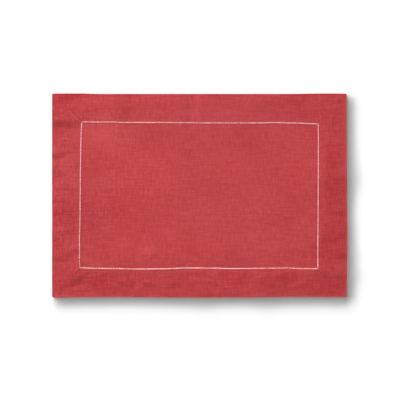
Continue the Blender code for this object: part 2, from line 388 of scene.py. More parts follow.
def panelHeight(offBand):
    # middle of the panel's layer, by the distance inwards from the band's edge
    return cloth["low"] + cloth["panelLift"] * (1 - ease(offBand / cloth["panelLiftReach"]))


def sideSteps(side):
    # (distance from a corner, share of the side); the share is 0 or 1 near the corners, and between them the
    # distance is None
    count = cloth["stepsAlong"] if sides[side][0][0] else cloth["stepsAcross"]
    near = cloth["cornerSteps"]
    first = [(distance, 0) for distance in near]
    middle = [(None, n / count) for n in range(3, count - 2)]
    last = [(distance, 1) for distance in reversed(near[1:])]
    return first + middle + last


def linePoint(side, first, last, place, step):
    distance, share = step
    direction, outward = map(np.array, sides[side])
    if distance is None:
        point = first + (last - first) * share
    else:
        point = last - direction * distance if share else first + direction * distance
    along = point @ abs(direction)
    return abs(direction) * along + outward * place(side, along)


def arcPoint(side, corner, step):
    distance, share = step
    radius = cloth["cornerRadius"]
    if distance is None or distance >= radius:
        return None
    direction, outward = map(np.array, sides[side])
    heading = -direction if share else direction
    angle = math.radians(45 * (1 - distance / radius))
    return corner + heading * radius * (1 - math.sin(angle)) - outward * radius * (1 - math.cos(angle))


def hemColumns():
    # anticlockwise round the mat
    columns = []
    edgeCorners = [cornerOf(n, edgePlace) for n in range(4)]
    bandCorners = [cornerOf(n, bandPlace) for n in range(4)]
    for n, side in enumerate(sideNames):
        after = (n + 1) % 4
        for step in sideSteps(side):
            distance, share = step
            corner = after if share == 1 else n
            edge = arcPoint(side, edgeCorners[corner], step)
            if edge is None:
                edge = linePoint(side, edgeCorners[n], edgeCorners[after], edgePlace, step)
            band = linePoint(side, bandCorners[n], bandCorners[after], bandPlace, step)
            ridge, reach, fold = mitres[corner]
            offMitre = cloth["farFromMitre"] if distance is None else distance
            fold *= -1 if share == 1 else 1
            columns.append((edge, band, ridge, reach, offMitre, fold, paintedFoldLight[side]))
    return HemColumn(*map(np.array, zip(*columns)))


def hemSection():
    # from the band over the top, round the fold, back under and into the tucked edge
    inside = cloth["hem"] - cloth["band"] / 2
    low, onHem = cloth["low"], tones["paintedRimOnHem"]
    foldRadius = (cloth["hemTop"] - low) / 2
    foldMiddle = cloth["ply"] / 2 + foldRadius
    rows = []
    for n in range(cloth["topRows"] + 1):
        offBand = (inside - foldMiddle) * n / cloth["topRows"]
        inset = inside - offBand
        # the hem's deeper tone and its paler strip beside the band, then how much of the fold's painted
        # light and shade the row takes
        wear = tones["hem"] + tones["hemAtBand"] * math.exp(-offBand / tones["hemAtBandReach"])
        rim = onHem * math.exp(-((inset / tones["paintedRimReach"] - 1) ** 2))
        under = cloth["turnedHeight"] if offBand < cloth["turnedEdge"] + cloth["turnedMargin"] else low
        lowest = under + cloth["ply"] + cloth["clearance"]
        rows.append(HemRow(inset, hemHeight(offBand), 1, 0, wear, lowest, rim))
    for n in range(1, cloth["foldRows"] + 1):
        # a pressed fold, squarer than a half circle
        angle = math.pi * (0.5 - n / (cloth["foldRows"] + 1))
        height = low + foldRadius * (1 + math.copysign(abs(math.sin(angle)) ** 0.5, angle))
        share = (height - low) / (cloth["hemTop"] - low)
        inset = foldMiddle - foldRadius * math.cos(angle) ** 0.5
        # the fold's painted light and shade is strongest at its outer point
        rows.append(HemRow(inset, height, share, 0, 0, low, onHem + (1 - onHem) * math.cos(angle)))
    turnRadius = (cloth["turnedHeight"] - low) / 2
    turnMiddle = inside - cloth["tuck"] - turnRadius
    for n in range(cloth["underRows"] + 1):
        inset = foldMiddle + (turnMiddle - foldMiddle) * n / cloth["underRows"]
        rows.append(HemRow(inset, low, 0, 1, 0, low, 0))
    for angle in (-45, 0, 45):
        inset = turnMiddle + turnRadius * math.cos(math.radians(angle))
        height = low + turnRadius * (1 + math.sin(math.radians(angle)))
        rows.append(HemRow(inset, height, 0, 0.5, 0, low, 0))
    for n in range(4):
        inset = turnMiddle - cloth["turnedEdge"] * n / 3
        rows.append(HemRow(inset, cloth["turnedHeight"], 0, 0, 0, low, 0))
    return rows


def hemRings(columns):
    edge, band, ridge, reach, offMitre, fold, pale = columns
    rings, paintedLightsAndTones = [], []
    ridgeBeside = np.exp(-((offMitre / cloth["mitreReach"]) ** 2))
    grooveBeside = np.exp(-((offMitre / cloth["mitreGrooveReach"]) ** 2))
    lineBeside = np.exp(-(((offMitre - cloth["mitreLine"]) / cloth["mitreLineReach"]) ** 2))
    for row in hemSection():
        share = row.inset / cloth["hem"]
        plan = edge + (band - edge) * share
        faded = ease(1 - (1 - share) / reach)
        z = row.height + row.relief * (reliefAt(plan[:, 0], plan[:, 1]) + ridge * ridgeBeside * faded)
        z = np.maximum(z, row.lowest) + row.groove * cloth["mitreGroove"] * grooveBeside
        rings.append(np.column_stack((plan, z)))
        # painted light and shade: the broad patches, and the lines beside each mitre
        tone = paintedLightAt(plan[:, 0], plan[:, 1]) + fold * lineBeside * faded
        # with the fold's painted light and shade on each side
        paintedLightsAndTones.append(row.wear + row.rim * pale + row.relief * tone)
    return rings, paintedLightsAndTones


def panelRows(columns):
    # the centre panel as a grid stretched between its four edges
    share = (cloth["hem"] + cloth["band"] / 2) / cloth["hem"]
    ring = columns.edge + (columns.band - columns.edge) * share
    along, across = len(sideSteps("front")), len(sideSteps("right"))
    closed = np.vstack((ring, ring[:1]))
    front = closed[: along + 1]
    right = closed[along : along + across + 1]
    back = closed[along + across : 2 * along + across + 1][::-1]
    left = closed[2 * along + across :][::-1]
    u = ((front[:, 0] - front[0, 0]) / (front[-1, 0] - front[0, 0]))[None, :, None]
    v = ((left[:, 1] - left[0, 1]) / (left[-1, 1] - left[0, 1]))[:, None, None]
    plan = (
        front[None] * (1 - v) + back[None] * v + left[:, None] * (1 - u) + right[:, None] * u
        - (front[0] * (1 - u) + front[-1] * u) * (1 - v) - (back[0] * (1 - u) + back[-1] * u) * v
    )
    x, y = plan[..., 0], plan[..., 1]
    offBand = np.minimum.reduce((x - left[:, None, 0], right[:, None, 0] - x, y - front[None, :, 1],
                                 back[None, :, 1] - y))
    deepest = cloth["panelLift"] * cloth["deepestTrough"]
    z = panelHeight(offBand) + np.maximum(reliefAt(x, y), -deepest)
    # painted light and shade, with painted shade on the panel against the band
    wear = paintedLightAt(x, y) + tones["paintedPanelShade"] * np.exp(-offBand / tones["paintedPanelShadeReach"])
    return np.dstack((x, y, np.maximum(z, cloth["low"]))), wear


# how strongly each part is marked by small creases, and how wide the change is between two parts, in mm
creasing = {"front": 0.9, "right": 0.6, "back": 0.45, "left": 0.7, "panel": 0.16, "atBand": 2, "atMitre": 4}

# how uneven the yarn is, by the place along x; the left hem shows it most
yarnWaves = ((-240, 1.35), (-205, 1.2), (0, 1.08), (200, 1.0))


def creasedAt(x, y):
    amount = np.full(len(x), creasing["panel"])
    for side in sideNames:
        direction, outward = map(np.array, sides[side])
        along = x * abs(direction[0]) + y * abs(direction[1])
        outer = x * outward[0] + y * outward[1] - bandPlace(side, along)
        other = np.abs(along) - (cloth["panelAlong"] if direction[0] else cloth["panelAcross"])
        here = ease(0.5 + outer / creasing["atBand"]) * ease(0.5 + (outer - other) / creasing["atMitre"])
        amount = amount * (1 - here) + creasing[side] * here
    return amount


def unevenness(x, y):
    broad = noise.noise(Vector((x / uneven["broad"], y / uneven["broad"], 3.1)))
    fine = noise.noise(Vector((x / uneven["fine"], y / uneven["fine"], 7.7)))
    return uneven["broadHeight"] * broad + uneven["fineHeight"] * fine


def addPiece(name, points, faces, **values):
    # points in metres; each of the values is kept with the points under its own name
    mesh = bpy.data.meshes.new(name)
    mesh.from_pydata(points, [], faces)
    for label, numbers in values.items():
        attribute = mesh.attributes.new(label, "FLOAT", "POINT")
        attribute.data.foreach_set("value", np.asarray(numbers, np.float32))
    piece = bpy.data.objects.new(name, mesh)
    bpy.context.scene.collection.objects.link(piece)
    return piece


def makeCloth():
    columns = hemColumns()
    rings, ringPaintedLightAndTone = hemRings(columns)
    panel, panelPaintedLightAndTone = panelRows(columns)
    count = len(rings[0])
    points = [point for ring in rings for point in ring] + list(panel.reshape(-1, 3))
    paintedLightsAndTones = np.concatenate(ringPaintedLightAndTone + [panelPaintedLightAndTone.ravel()])
    faces = []
    for k in range(len(rings) - 1):
        here, there = k * count, (k + 1) * count
        for n in range(count):
            before = n - 1 if n else count - 1
            faces.append((here + before, there + before, there + n, here + n))
    start, (rowCount, columnCount) = len(rings) * count, panel.shape[:2]
    for j in range(rowCount - 1):
        for i in range(columnCount - 1):
            first = start + j * columnCount + i
            faces.append((first, first + 1, first + columnCount + 1, first + columnCount))
    placed = []
    for x, y, z in points:
        # a layer that lies on the table stays flat
        above = z - cloth["low"]
        lifted = min(1, above / cloth["looseAbove"]) if above > cloth["clearance"] / 2 else 0
        placed.append((x * mm, y * mm, (z + unevenness(x, y) * lifted) * mm))
    x, y = np.array(points)[:, :2].T
    piece = addPiece("placematCloth", placed, faces, wear=paintedLightsAndTones, creased=creasedAt(x, y),
                     slubby=waveAt(yarnWaves, x))
    sheet = piece.data
    thick = piece.modifiers.new("ply", "SOLIDIFY")
    thick.thickness = cloth["ply"] * mm
    thick.offset = 0
    graph = bpy.context.evaluated_depsgraph_get()
    piece.data = bpy.data.meshes.new_from_object(piece.evaluated_get(graph))
    piece.modifiers.clear()
    bpy.data.meshes.remove(sheet)
    piece.data.shade_smooth()
    piece.data.set_sharp_from_angle(angle=math.radians(cloth["sharpAngle"]))
    return piece


print("placemat: cutting and folding the cloth")
placematCloth = makeCloth()
print("  faces:", len(placematCloth.data.polygons))


def tube(points, faces, path, radius, count, axis, closed=False):
    # adds a round thread along a path; axis is any direction that the path never follows
    first = len(points)
    last = len(path) - 1
    for n, place in enumerate(path):
        before = path[n - 1] if closed or n else path[n]
        after = path[(n + 1) % len(path)] if closed or n < last else path[n]
        heading = (after - before).normalized()
        sideways = heading.cross(axis).normalized()
        upwards = sideways.cross(heading)
        for k in range(count):
            angle = 2 * math.pi * k / count
            points.append(place + (sideways * math.cos(angle) + upwards * math.sin(angle)) * radius)
    for n in range(len(path) if closed else last):
        here, there = first + n * count, first + (n + 1) % len(path) * count
        for k in range(count):
            other = (k + 1) % count
            faces.append((here + k, there + k, there + other, here + other))
    if not closed:
        faces.append(tuple(range(first, first + count)))
        faces.append(tuple(range(first + last * count + count - 1, first + last * count - 1, -1)))


def makeThreads(name, points, faces, paintedLightsAndTones=()):
    paintedLightsAndTones = list(paintedLightsAndTones) + [0] * (len(points) - len(paintedLightsAndTones))
    piece = addPiece(name, [point * mm for point in points], faces, wear=paintedLightsAndTones)
    piece.data.shade_smooth()
    return piece


# the drawn band: bundles of the threads that are left, in mm
ladder = {
    "pitch": 2.62,
    "threadRadius": 0.17,
    "threadSides": 5,
    "lean": 0.16,
    "fullness": (0.65, 1.2),
    "beatSlims": 0.3,
    "beatPales": 1.5,
    "intoCloth": 0.6,
    "cornerSpace": 1.2,  # from a corner of the band to its first bundle
    "jitter": 0.14,
    "paleSpread": 1.7,  # how far the bundles differ
    # how much paler and slimmer each second bundle is
    "beat": {"front": 0.3, "right": 0.4, "back": 0.3, "left": 0.4},
    # how much paler the bundles are, as (place along the side, amount): painted light and shade that evens
    # the bands out, the right one, which the light strikes most, deeper, and the back and left ones, which
    # the hem's step shades, paler, with the bundles' uneven tone along each side
    "pale": {
        "front": ((-186, 0.8), (-134, 0.5), (-83, 0.7), (-57, 0.0), (46, 0.5), (98, 0.4), (120, 0.0),
                  (145, -1.3), (180, -1.1), (200, 0.2)),
        "right": ((-101, -0.8), (-50, -1.2), (-24, -0.4), (2, -1.0), (53, -1.4), (105, -1.6)),
        "back": ((-186, -0.3), (-160, -0.6), (-134, 0.9), (-83, 1.1), (-31, 0.3), (20, -0.6), (98, -0.4),
                 (175, 0.5)),
        "left": ((-99, -1.0), (-73, 0.1), (-47, -0.6), (-21, 0.1), (30, 0.5), (56, -0.3), (82, -0.4),
                 (108, -0.9)),
    },
}

# the threads of a bundle, in mm; spread is between two of them, pinch how far the stitches draw them
# together at the ends, and full how quickly they part again
bundle = {"strands": (-2, -1, 0, 1, 2), "steps": 4, "spread": 0.32, "pinch": 0.62, "full": 0.7,
          "arch": 0.10, "heap": 0.05}
cornerBundle = {"strands": (-1.5, -0.5, 0.5, 1.5), "steps": 5, "spread": 0.33, "pinch": 0.6, "full": 1,
                "arch": 0, "heap": 0, "intoCloth": 0.5}

# the hemstitching, in mm
stitch = {
    "radius": 0.12,
    "sides": 4,
    "wrapSteps": 8,
    "wrapWide": 0.66,
    "wrapHigh": 0.30,
    "wrapSkew": 0.06,
    "wrapInside": 0.10,  # as a share of the way to the middle of the band
    "wrapRise": 0.04,
    "bite": 1.15,  # how far a stitch reaches into the cloth
    "biteSpread": (0.85, 1.15),
    "slant": 0.5,
    "slantSpread": (0.6, 1.2),
    "mitrePitch": 3.4,
    "mitreLength": 1.5,
    "mitreSlant": 0.5,
    "mitreEnd": 3.0,  # from either end of a mitre to its last stitch
    "mitreSunk": 0.22,  # how deep the ends of a mitre's stitch go into the cloth
}
up = Vector((0, 0, 1))


def bandEdges(middle, outward):
    # the middle of the cloth at the inner and the outer edge of the band
    half = cloth["band"] / 2
    inner, outer = middle - outward * half, middle + outward * half
    inner.z = panelHeight(0) + reliefAt(inner.x, inner.y)
    outer.z = hemHeight(0) + reliefAt(outer.x, outer.y)
    return inner, outer


def ladderPlaces(side):
    # where the bundles stand along a side
    n = sideNames.index(side)
    axis = 0 if sides[side][0][0] else 1
    ends = sorted((cornerOf(n, bandPlace)[axis], cornerOf(n + 1, bandPlace)[axis]))
    start, end = ends[0] + ladder["cornerSpace"], ends[1] - ladder["cornerSpace"]
    count = round((end - start) / ladder["pitch"])
    return [start + (end - start) * k / count + random.uniform(-1, 1) * ladder["jitter"]
            for k in range(count + 1)]


def addBundle(bars, look, start, end, sideways, fullness=1):
    for strand in look["strands"]:
        path = []
        for n in range(look["steps"] + 1):
            t = n / look["steps"]
            rise = math.sin(math.pi * t)
            gather = look["pinch"] + (1 - look["pinch"]) * rise ** look["full"]
            place = start.lerp(end, t) + sideways * strand * look["spread"] * gather * fullness
            place.z += look["arch"] * rise + look["heap"] * (2 - abs(strand))
            path.append(place)
        tube(*bars, path, ladder["threadRadius"], ladder["threadSides"], up)


def addWrap(sewing, edge, middle, heading):
    # the stitch's loop round a bundle
    across = heading.cross(up).normalized()
    inside = edge.lerp(middle, stitch["wrapInside"]) + up * stitch["wrapRise"]
    sideways = across * stitch["wrapWide"] + heading * stitch["wrapSkew"]
    upwards = across.cross(heading) * stitch["wrapHigh"]
    ring = []
    for k in range(stitch["wrapSteps"]):
        angle = 2 * math.pi * k / stitch["wrapSteps"]
        ring.append(inside + sideways * math.cos(angle) + upwards * math.sin(angle))
    tube(*sewing, ring, stitch["radius"], stitch["sides"], heading, closed=True)


def addBites(sewing, edge, away, lengthwise, onHem):
    # the stitch's two slanted legs into the cloth, the first above it and the second below; their points
    # are given in mm and in shares of the reach and the slant
    slant = lengthwise * stitch["slant"] * random.uniform(*stitch["slantSpread"])
    for side in (1, -1):
        reach = stitch["bite"] * random.uniform(*stitch["biteSpread"])
        base = edge + up * side * cloth["ply"] / 2
        if side == -1 and onHem:
            base.z = cloth["underside"] - cloth["clearance"]
        path = [
            edge + away * 0.05,
            base + away * 0.35 + slant * 0.3 + up * 0.06 * side,
            base + away * reach * 0.75 + slant * 0.75 + up * 0.04 * side,
            base + away * reach + slant - up * 0.2 * side,
        ]
        if side == -1:
            path[0] = path[1] - away * 0.4 + up * 0.25
            for place in path[:3]:
                place.z = max(place.z, stitch["radius"])
        tube(*sewing, path, stitch["radius"], stitch["sides"], lengthwise)


def makeLadder():
    # bundles of five threads across the band, and the stitches that tie them
    bars, sewing, paintedLightsAndTones = ([], []), ([], []), []
    for side in sideNames:
        direction, outward = (Vector((*d, 0)) for d in sides[side])
        lengthwise = Vector(map(abs, direction))
        for number, along in enumerate(ladderPlaces(side)):
            inner, outer = bandEdges(lengthwise * along + outward * bandPlace(side, along), outward)
            lean = lengthwise * random.uniform(-1, 1) * ladder["lean"]
            start = inner - outward * ladder["intoCloth"] - lean
            end = outer + outward * ladder["intoCloth"] + lean
            beat = ladder["beat"][side] * (-1) ** number
            fullness = random.uniform(*ladder["fullness"]) * (1 - ladder["beatSlims"] * beat)
            addBundle(bars, bundle, start, end, lengthwise, fullness)
            # painted light and shade along each band, and the bundles' uneven tone
            paleness = float(waveAt(ladder["pale"][side], along))
            paleness += random.uniform(-1, 1) * ladder["paleSpread"] + ladder["beatPales"] * beat
            paintedLightsAndTones += [paleness] * (len(bars[0]) - len(paintedLightsAndTones))
            for edge, away in ((inner, -outward), (outer, outward)):
                addWrap(sewing, edge, inner.lerp(outer, 0.5), (end - start).normalized())
                addBites(sewing, edge, away, lengthwise, edge is outer)
    return bars, sewing, paintedLightsAndTones


def cornerBundles(bars):
    # a short bundle runs across each open corner of the band
    for n in range(4):
        middle = cornerOf(n, bandPlace)
        outward = Vector((*np.sign(middle), 0))
        inner, outer = bandEdges(Vector((*middle, 0)), outward)
        heading = outward.normalized()
        into = heading * cornerBundle["intoCloth"]
        addBundle(bars, cornerBundle, inner - into, outer + into, heading.cross(up))


def mitreStitches(sewing):
    # slip stitches that close the mitres under the corners
    for n in range(4):
        start, end = (Vector((*cornerOf(n, line), 0)) for line in (bandPlace, edgePlace))
        heading = (end - start).normalized()
        half = heading.cross(up) * stitch["mitreLength"] / 2 + heading * stitch["mitreSlant"]
        place = stitch["mitreEnd"]
        while place < (end - start).length - stitch["mitreEnd"]:
            path = []
            for t in (-1, -0.5, 0.5, 1):
                point = start + heading * place + half * t
                sunk = stitch["mitreSunk"] if abs(t) == 1 else cloth["clearance"]
                point.z = stitch["radius"] + sunk
                path.append(point)
            tube(*sewing, path, stitch["radius"], stitch["sides"], heading)
            place += stitch["mitrePitch"] * random.uniform(*stitch["biteSpread"])


print("placemat: drawing threads and hemstitching")
bars, sewing, barPaintedLightAndTone = makeLadder()
cornerBundles(bars)
mitreStitches(sewing)
hemstitchLadder = makeThreads("hemstitchLadder", *bars, barPaintedLightAndTone)
hemstitchThread = makeThreads("hemstitchThread", *sewing)
print("  faces:", len(hemstitchLadder.data.polygons), len(hemstitchThread.data.polygons))


# shared effects, each a node group that is built once and gets its values where it is placed
def newGroup(name, inputs, outputs):
    group = bpy.data.node_groups.new(name, "ShaderNodeTree")
    for way, labels in (("INPUT", inputs), ("OUTPUT", outputs)):
        for label in labels:
            group.interface.new_socket(label, in_out=way, socket_type="NodeSocketFloat")
    given, result = group.nodes.new("NodeGroupInput").outputs, group.nodes.new("NodeGroupOutput")
    return group, partial(calcIn, group), given, result


def feedSocket(tree, socket, value):
    # links a socket or sets a number
    if isinstance(value, bpy.types.NodeSocket):
        tree.links.new(value, socket)
    else:
        socket.default_value = value


def feed(tree, node, **values):
    # Thread_Tone stands for the input Thread Tone
    for label, value in values.items():
        feedSocket(tree, node.inputs[label.replace("_", " ")], value)


def calcIn(tree, operation, *values, clamp=False):
    made = tree.nodes.new("ShaderNodeMath")
    made.operation = operation
    made.use_clamp = clamp
    for socket, value in zip(made.inputs, values):
        feedSocket(tree, socket, value)
    return made.outputs[0]


def combine(tree, x, y, z):
    made = tree.nodes.new("ShaderNodeCombineXYZ")
    for socket, value in zip(made.inputs, (x, y, z)):
        feedSocket(tree, socket, value)
    return made.outputs[0]


def noiseAt(tree, vector, scale=1.0, detail=1.0, roughness=0.5):
    made = tree.nodes.new("ShaderNodeTexNoise")
    feed(tree, made, Vector=vector, Scale=scale, Detail=detail, Roughness=roughness)
    return made.outputs["Fac"]


def clothPlace(tree):
    # lengthwise and crosswise places on the cloth; the height is added so that the folds carry the weave too
    place = tree.nodes.new("ShaderNodeTexCoord")
    split = tree.nodes.new("ShaderNodeSeparateXYZ")
    tree.links.new(place.outputs["Object"], split.inputs[0])
    x, y, z = split.outputs
    return calcIn(tree, "ADD", x, z), calcIn(tree, "ADD", y, z), z


weaveShape = {
    "wanderScale": 55.0,
    "flank": 1.5,  # how much of a thread's width is thread, and how steep its flanks are
    "round": 0.8,
    "swing": 0.5,  # how far a thread goes up and down over the ones it crosses
    "overSharpness": 4.0,
    "gapShadeStart": 1.2,
    "gapShadeSlope": -2.0,
}


def buildWeave():
    group, calc, given, result = newGroup("plain weave", ("Thread Pitch", "Waviness", "Slub Length"),
                                          ("Height", "Thread Tone", "Hollow", "Warp Over"))
    u, v = clothPlace(group)[:2]
    slubScale = calc("DIVIDE", 1.0, given["Slub Length"])
    sines, tones, heights = [], [], []
    # the warp first, then the weft; the last three numbers only keep the noises of the threads apart
    for across, along, depth, stride, shift in ((u, v, 0.0, 7.31, 0.0), (v, u, 0.7, 5.17, 9.0)):
        place = combine(group, across, along, depth)
        wander = calc("SUBTRACT", noiseAt(group, place, weaveShape["wanderScale"]), 0.5)
        across = calc("MULTIPLY_ADD", wander, given["Waviness"], across)
        thread = calc("DIVIDE", across, given["Thread Pitch"])
        sines.append(calc("SINE", calc("MULTIPLY", thread, math.pi)))
        line = combine(group, calc("MULTIPLY", calc("FLOOR", thread), stride),
                       calc("MULTIPLY", along, slubScale), shift)
        tones.append(noiseAt(group, line))
    # each thread is round and waves over the ones it crosses; the higher of the two shows
    for across, along, swing in ((*sines, weaveShape["swing"]), (*sines[::-1], -weaveShape["swing"])):
        wave = calc("MULTIPLY", calc("SIGN", across), calc("MULTIPLY", along, swing))
        core = calc("MULTIPLY_ADD", calc("ABSOLUTE", across), weaveShape["flank"],
                    1 - weaveShape["flank"], clamp=True)
        body = calc("POWER", core, 0.5)
        heights.append(calc("MULTIPLY_ADD", body, weaveShape["round"], wave))
    height = calc("MAXIMUM", *heights)
    warpOver = calc("MULTIPLY_ADD", calc("SUBTRACT", *heights), weaveShape["overSharpness"], 0.5, clamp=True)
    weftOver = calc("SUBTRACT", 1.0, warpOver)
    tone = calc("ADD", calc("MULTIPLY", tones[0], warpOver), calc("MULTIPLY", tones[1], weftOver))
    # the share of painted shade where the weave is low, between the threads
    gapShade = calc("MULTIPLY_ADD", height, weaveShape["gapShadeSlope"], weaveShape["gapShadeStart"], clamp=True)
    feed(group, result, Height=height, Thread_Tone=tone, Hollow=gapShade, Warp_Over=warpOver)
    return group


def buildSlubs():
    # thick and thin places in the yarn: long soft streaks both ways, 0.5 where the yarn is even
    group, calc, given, result = newGroup("slub streaks", ("Width", "Length", "Cross Length"),
                                          ("Weft Streaks", "Warp Streaks"))
    u, v = clothPlace(group)[:2]
    thin = calc("DIVIDE", 1.0, given["Width"])
    for a, b, reach, shift, label in ((v, u, "Length", 0.0, "Weft Streaks"),
                                      (u, v, "Cross Length", 40.0, "Warp Streaks")):
        long = calc("DIVIDE", 1.0, given[reach])
        line = combine(group, calc("MULTIPLY", a, thin), calc("MULTIPLY", b, long), shift)
        feed(group, result, **{label: noiseAt(group, line)})
    return group


creaseShape = {"bendScale": 25.0, "bend": 0.012, "roughness": 0.45}


def buildCreases():
    # small soft creases, longer across than they are wide
    group, calc, given, result = newGroup("small creases", ("Length", "Width"), ("Height",))
    u, v = clothPlace(group)[:2]
    bend = calc("SUBTRACT", noiseAt(group, combine(group, u, v, 3.0), creaseShape["bendScale"]), 0.5)
    across = calc("DIVIDE", calc("MULTIPLY_ADD", bend, creaseShape["bend"], v), given["Width"])
    line = combine(group, calc("DIVIDE", u, given["Length"]), across, 5.0)
    feed(group, result, Height=noiseAt(group, line, roughness=creaseShape["roughness"]))
    return group


def buildMottle():
    # uneven dye and pressing, broad and fine
    group, calc, given, result = newGroup("mottle", ("Broad", "Fine"), ("Tone",))
    u, v, z = clothPlace(group)
    place = combine(group, u, v, z)
    broad = noiseAt(group, place, calc("DIVIDE", 1.0, given["Broad"]), 2.0)
    fine = noiseAt(group, place, calc("DIVIDE", 1.0, given["Fine"]), 2.0, 0.6)
    feed(group, result, Tone=calc("MULTIPLY_ADD", fine, 0.5, calc("MULTIPLY", broad, 0.5)))
    return group


def buildFibres():
    # the twisted fibres of a yarn, along the warp or along the weft
    group, calc, given, result = newGroup("yarn fibres", ("Fibre", "Strand", "Warp Over"), ("Height",))
    u, v = clothPlace(group)[:2]
    heights = []
    for across, along, shift in ((u, v, 0.0), (v, u, 8.0)):
        twisted = calc("MULTIPLY_ADD", along, 0.4, across)
        line = combine(group, calc("DIVIDE", twisted, given["Fibre"]),
                       calc("DIVIDE", along, given["Strand"]), shift)
        heights.append(noiseAt(group, line))
    warpPart = calc("MULTIPLY", heights[0], given["Warp Over"])
    weftShare = calc("SUBTRACT", 1.0, given["Warp Over"])
    feed(group, result, Height=calc("MULTIPLY_ADD", heights[1], weftShare, warpPart))
    return group


print("placemat: dyeing and weaving")
weaveGroup = buildWeave()
slubGroup = buildSlubs()
mottleGroup = buildMottle()
fibreGroup = buildFibres()
creaseGroup = buildCreases()


def placeGroup(tree, group, **values):
    made = tree.nodes.new("ShaderNodeGroup")
    made.node_tree = group
    feed(tree, made, **values)
    return made.outputs


def attributeOf(tree, name):
    made = tree.nodes.new("ShaderNodeAttribute")
    made.attribute_name = name
    return made.outputs["Fac"]


def mixColor(tree, amount, first, second):
    made = tree.nodes.new("ShaderNodeMix")
    made.data_type = "RGBA"
    colorSockets = [socket for socket in made.inputs if socket.type == "RGBA"]
    for socket, value in zip([made.inputs["Factor"]] + colorSockets, (amount, first, second)):
        feedSocket(tree, socket, value)
    return [socket for socket in made.outputs if socket.type == "RGBA"][0]


def bumpNormal(tree, height, distance):
    bump = tree.nodes.new("ShaderNodeBump")
    feed(tree, bump, Height=height, Distance=distance)
    return bump.outputs["Normal"]


def newMaterial(name):
    material = bpy.data.materials.new(name)
    material.use_nodes = True
    return material, material.node_tree, material.node_tree.nodes["Principled BSDF"]


linenLook = {
    "deep": (0.377, 0.0265, 0.031, 1),
    "pale": (0.608, 0.0955, 0.1, 1),  # thick slubs, and the painted highlight on the front and right folds
    "gapShade": (0.305, 0.034, 0.037, 1),  # painted shade down between the threads
    "gapShadeShare": 0.8,
    "middle": 0.490,  # between deep and pale where the yarn is even
    "paleSlubs": 0.9,
    "threadTone": 0.65,
    "weftStreaks": 0.44,
    "warpStreaks": 0.46,
    "mottle": 0.85,
    "wear": 0.45,
    "roughness": 0.83,
    "threadRoughness": 0.10,
    "sheen": 0.08,
    "slubHeight": 0.5,  # as shares of the weave's height
    "fibreHeight": 0.22,
    "weaveBump": 0.00010,
    "creaseBump": 0.0014,
}


def makeLinen():
    material, tree, shader = newMaterial("redLinen")
    calc = partial(calcIn, tree)
    weave = placeGroup(tree, weaveGroup, Thread_Pitch=0.0007, Waviness=0.0003, Slub_Length=0.02)
    slubs = placeGroup(tree, slubGroup, Width=0.0027, Length=0.036, Cross_Length=0.016)
    mottle = placeGroup(tree, mottleGroup, Broad=0.07, Fine=0.0045)
    fibres = placeGroup(tree, fibreGroup, Fibre=0.00009, Strand=0.0007, Warp_Over=weave["Warp Over"])
    creases = placeGroup(tree, creaseGroup, Length=0.030, Width=0.018)
    wear, creased, slubby = (attributeOf(tree, name) for name in ("wear", "creased", "slubby"))
    tone = 0.0
    for part, share in ((weave["Thread Tone"], "threadTone"), (slubs["Weft Streaks"], "weftStreaks"),
                        (slubs["Warp Streaks"], "warpStreaks"), (mottle["Tone"], "mottle")):
        tone = calc("MULTIPLY_ADD", calc("SUBTRACT", part, 0.5), linenLook[share], tone)
    tone = calc("MULTIPLY", tone, slubby)
    # the pale slubs stand out more than the deep places between them
    tone = calc("MULTIPLY_ADD", calc("MULTIPLY", tone, tone), linenLook["paleSlubs"], tone)
    tone = calc("ADD", tone, linenLook["middle"])
    # the painted light and shade and the hem's tone, carried in the points
    tone = calc("MULTIPLY_ADD", wear, linenLook["wear"], tone, clamp=True)
    color = mixColor(tree, tone, linenLook["deep"], linenLook["pale"])
    # painted shade down between the threads
    gapShade = calc("MULTIPLY", weave["Hollow"], linenLook["gapShadeShare"], clamp=True)
    color = mixColor(tree, gapShade, color, linenLook["gapShade"])
    rough = calc("MULTIPLY_ADD", weave["Thread Tone"], linenLook["threadRoughness"],
                 linenLook["roughness"], clamp=True)
    height = calc("MULTIPLY_ADD", slubs["Weft Streaks"], linenLook["slubHeight"], weave["Height"])
    height = calc("MULTIPLY_ADD", fibres["Height"], linenLook["fibreHeight"], height)
    height = calc("MULTIPLY", height, linenLook["weaveBump"])
    folded = calc("MULTIPLY", calc("SUBTRACT", creases["Height"], 0.5), creased)
    height = calc("MULTIPLY_ADD", folded, linenLook["creaseBump"], height)
    feed(tree, shader, Base_Color=color, Roughness=rough, Normal=bumpNormal(tree, height, 1.0),
         Sheen_Weight=linenLook["sheen"], Sheen_Roughness=0.5, Specular_IOR_Level=0.0)
    return material


threadLook = {
    # the ladder's colours run paler than the linen its threads come from: partly painted light, for the
    # brightness of the drawn band
    "ladder": {"color": (1.0, 0.42, 0.39, 1), "shade": (0.68, 0.10, 0.095, 1), "bump": 0.00006},
    "stitch": {"color": (0.54, 0.075, 0.075, 1), "shade": (0.42, 0.04, 0.04, 1), "bump": 0.00005},
    "wear": -0.5,  # the shade shows less where a bundle is paler
    "mottle": 1.4,
    "mottleShift": -0.2,
    "roughness": 0.68,
    "fibreRoughness": 0.2,
    "sheen": 0.1,
    "specular": 0.1,
}


